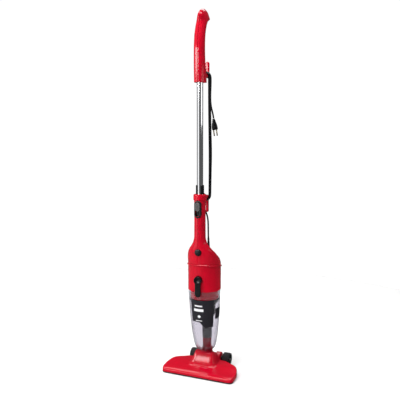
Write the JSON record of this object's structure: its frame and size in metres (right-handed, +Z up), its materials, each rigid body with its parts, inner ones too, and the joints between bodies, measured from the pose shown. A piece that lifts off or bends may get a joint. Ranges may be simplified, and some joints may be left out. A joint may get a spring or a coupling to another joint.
{
  "type": "upright stick vacuum cleaner",
  "caption": "Corded upright stick vacuum: floor head with wheels, clear dust cup, motor unit on a chrome tube, curved handle, cord wound on two hooks.",
  "frame": {"origin": "on the floor, under the middle of the object's box without its cord and plug", "axes": "+Z up along the tube, front of the floor head towards -Y, +X to the right seen from the front"},
  "size_m": [0.2352, 0.15, 1.1075],
  "materials": {
    "red_plastic": "polished moulded plastic",
    "deep_red_plastic": "moulded plastic",
    "lint_fabric": "short pile",
    "black_plastic": "satin moulded plastic",
    "grey_plastic": "satin moulded plastic",
    "rubber": "matt",
    "cord_pvc": "satin flexible sheath",
    "chrome": "polished",
    "brass": "polished",
    "clear_plastic": "clear, lightly smoked",
    "filter_paper": "pleated paper",
    "steel": "plain"
  },
  "bodies": {
    "floor_head": {"head_cover": "red_plastic", "base_plate": "black_plastic", "lint_strip_rear": "lint_fabric", "lint_strip_front": "lint_fabric", "front_bumper": "rubber", "base_screw_1": "steel", "base_screw_2": "steel", "base_screw_3": "steel", "base_screw_4": "steel", "pivot_bracket": "red_plastic", "axle_left": "steel", "axle_right": "steel"},
    "wheel_left": {"wheel_tyre_left": "rubber", "wheel_hub_left": "black_plastic"},
    "wheel_right": {"wheel_tyre_right": "rubber", "wheel_hub_right": "black_plastic"},
    "neck": {"elbow": "red_plastic"},
    "cup": {"dust_cup": "clear_plastic", "inlet_duct": "deep_red_plastic", "cup_seal": "rubber"},
    "flap": {"duct_flap": "rubber"},
    "motor_unit": {"filter_ring": "red_plastic", "filter_cage": "black_plastic", "filter": "filter_paper", "partition_plate": "black_plastic", "fan_housing": "black_plastic", "motor": "steel", "motor_mount": "rubber", "lower_sleeve": "red_plastic", "ridge_ring": "red_plastic", "housing_left": "red_plastic", "housing_right": "red_plastic", "housing_screw_1": "steel", "housing_screw_2": "steel", "housing_screw_3": "steel", "switch_block": "black_plastic", "switch_bezel": "black_plastic", "collar": "red_plastic", "chrome_tube": "chrome", "tube_clip": "black_plastic", "handle_left": "red_plastic", "handle_right": "red_plastic", "handle_screw_1": "steel", "handle_screw_2": "steel", "upper_hook": "red_plastic", "lower_hook_post": "red_plastic", "strain_relief": "cord_pvc", "cord_lower_run": "cord_pvc", "cord_hank": "cord_pvc", "cord_end_run": "cord_pvc", "plug": "cord_pvc", "plug_pin_left": "brass", "plug_pin_right": "brass"},
    "fan": {"impeller": "grey_plastic", "motor_shaft": "steel"},
    "latch": {"latch": "black_plastic", "latch_pin": "steel"},
    "button": {"release_button": "black_plastic"},
    "switch": {"switch_slider": "grey_plastic"},
    "hook": {"lower_hook": "red_plastic"}
  },
  "joints": [
    {"name": "wheel_left_roll", "type": "hinge", "parent": "floor_head", "child": "wheel_left", "pos_m": [-0.056, 0.05455, 0.0205], "axis": [1, 0, 0], "continuous": true},
    {"name": "wheel_right_roll", "type": "hinge", "parent": "floor_head", "child": "wheel_right", "pos_m": [0.056, 0.05455, 0.0205], "axis": [1, 0, 0], "continuous": true},
    {"name": "recline", "type": "hinge", "parent": "floor_head", "child": "neck", "pos_m": [0, 0.05455, 0.0205], "axis": [-1, 0, 0], "range_deg": [0, 75]},
    {"name": "lift_off", "type": "slide", "parent": "neck", "child": "cup", "axis": [0, 0, 1], "range_m": [0, 0.06]},
    {"name": "flap_swing", "type": "hinge", "parent": "cup", "child": "flap", "pos_m": [0, 0.03455, 0.1495], "axis": [-1, 0, 0], "range_deg": [0, 45]},
    {"name": "cup_release", "type": "slide", "parent": "cup", "child": "motor_unit", "axis": [0, 0, 1], "range_m": [0, 0.12]},
    {"name": "fan_spin", "type": "hinge", "parent": "motor_unit", "child": "fan", "pos_m": [0, -0.00145, 0.29], "axis": [0, 0, 1], "continuous": true},
    {"name": "latch_press", "type": "hinge", "parent": "motor_unit", "child": "latch", "pos_m": [0, -0.05695, 0.291], "axis": [-1, 0, 0], "range_deg": [0, 8], "stiffness_Nm_per_rad": 0.2, "springref_deg": -5.73},
    {"name": "button_press", "type": "slide", "parent": "motor_unit", "child": "button", "axis": [0, 1, 0], "range_m": [0, 0.003], "stiffness_N_per_m": 300, "springref_m": -0.002},
    {"name": "switch_slide", "type": "slide", "parent": "motor_unit", "child": "switch", "axis": [0, 0, -1], "range_m": [0, 0.012]},
    {"name": "hook_swivel", "type": "hinge", "parent": "motor_unit", "child": "hook", "pos_m": [0, -0.01625, 0.5575], "axis": [0, 1, 0], "range_deg": [0, 180]}
  ]
}
